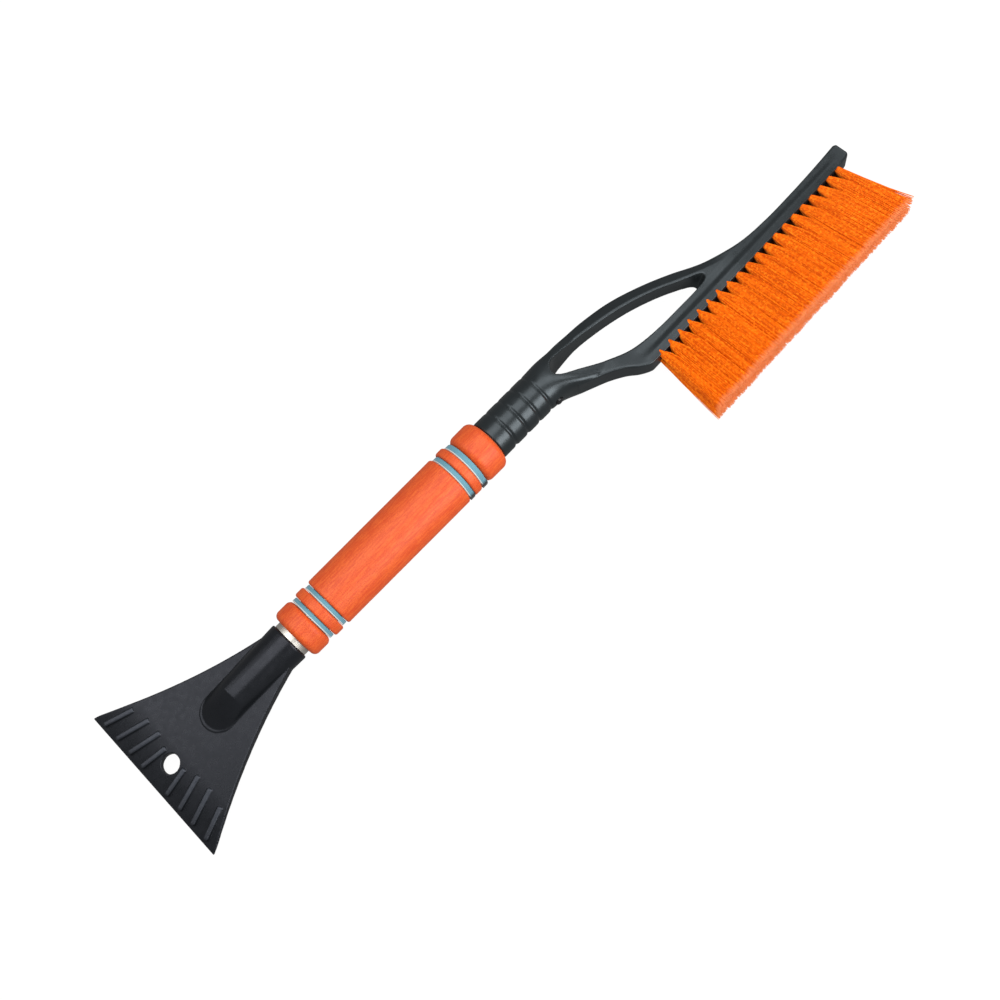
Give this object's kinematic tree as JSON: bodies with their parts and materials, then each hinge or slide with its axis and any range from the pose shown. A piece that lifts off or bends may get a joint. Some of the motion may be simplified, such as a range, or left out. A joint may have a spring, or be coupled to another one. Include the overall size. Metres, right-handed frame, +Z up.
{
  "type": "ice scraper",
  "caption": "Long-handled windshield ice scraper: ribbed blade at one end, foam-gripped tube, and a pull-off snow brush with an open-loop frame at the other.",
  "frame": {"origin": "centre of the bottom of the bounding box, with the tool lying on its grip and its back row of tufts", "axes": "+X along the handle from the scraper to the brush, +Y away from the bristles, +Z up out of the ribbed face"},
  "size_m": [0.635, 0.1642, 0.0387],
  "materials": {
    "scraper_plastic": "black moulded plastic with a soft sheen",
    "tube_metal": "plain drawn tube",
    "steel": "plain wire and pin stock",
    "orange_foam": "fine closed-cell foam, matte",
    "blue_band": "fine closed-cell foam, matte",
    "frame_plastic": "dark slate moulded plastic, satin",
    "button_plastic": "black moulded plastic",
    "bristle": "bundles of crimped plastic filament"
  },
  "bodies": {
    "handle": {"scraper_head": "scraper_plastic", "handle_tube": "tube_metal", "head_cross_pin": "steel", "grip_end_lower": "orange_foam", "grip_band_1": "blue_band", "grip_ring_lower": "orange_foam", "grip_band_2": "blue_band", "grip_main": "orange_foam", "grip_band_3": "blue_band", "grip_ring_upper": "orange_foam", "grip_band_4": "blue_band", "grip_end_upper": "orange_foam", "button_spring": "steel"},
    "release_button": {"release_button": "button_plastic"},
    "brush_head": {"brush_frame": "frame_plastic", "tuft_front_01": "bristle", "tuft_front_02": "bristle", "tuft_front_03": "bristle", "tuft_front_04": "bristle", "tuft_front_05": "bristle", "tuft_front_06": "bristle", "tuft_front_07": "bristle", "tuft_front_08": "bristle", "tuft_front_09": "bristle", "tuft_front_10": "bristle", "tuft_front_11": "bristle", "tuft_front_12": "bristle", "tuft_front_13": "bristle", "tuft_front_14": "bristle", "tuft_front_15": "bristle", "tuft_front_16": "bristle", "tuft_front_17": "bristle", "tuft_front_18": "bristle", "tuft_front_19": "bristle", "tuft_front_20": "bristle", "tuft_back_01": "bristle", "tuft_back_02": "bristle", "tuft_back_03": "bristle", "tuft_back_04": "bristle", "tuft_back_05": "bristle", "tuft_back_06": "bristle", "tuft_back_07": "bristle", "tuft_back_08": "bristle", "tuft_back_09": "bristle", "tuft_back_10": "bristle", "tuft_back_11": "bristle", "tuft_back_12": "bristle", "tuft_back_13": "bristle", "tuft_back_14": "bristle", "tuft_back_15": "bristle", "tuft_back_16": "bristle", "tuft_back_17": "bristle", "tuft_back_18": "bristle", "tuft_back_19": "bristle", "tuft_back_20": "bristle"}
  },
  "joints": [
    {"name": "brush_pull", "type": "slide", "parent": "handle", "child": "brush_head", "axis": [1, 0, -0.0032], "range_m": [0, 0.065], "deforming": ["button_spring", "release_button"]},
    {"name": "release_button_press", "type": "slide", "parent": "handle", "child": "release_button", "axis": [0.0002, 0.9969, 0.0791], "range_m": [0, 0.006], "stiffness_N_per_m": 600, "springref_m": -0.002, "deforming": ["button_spring"]}
  ]
}
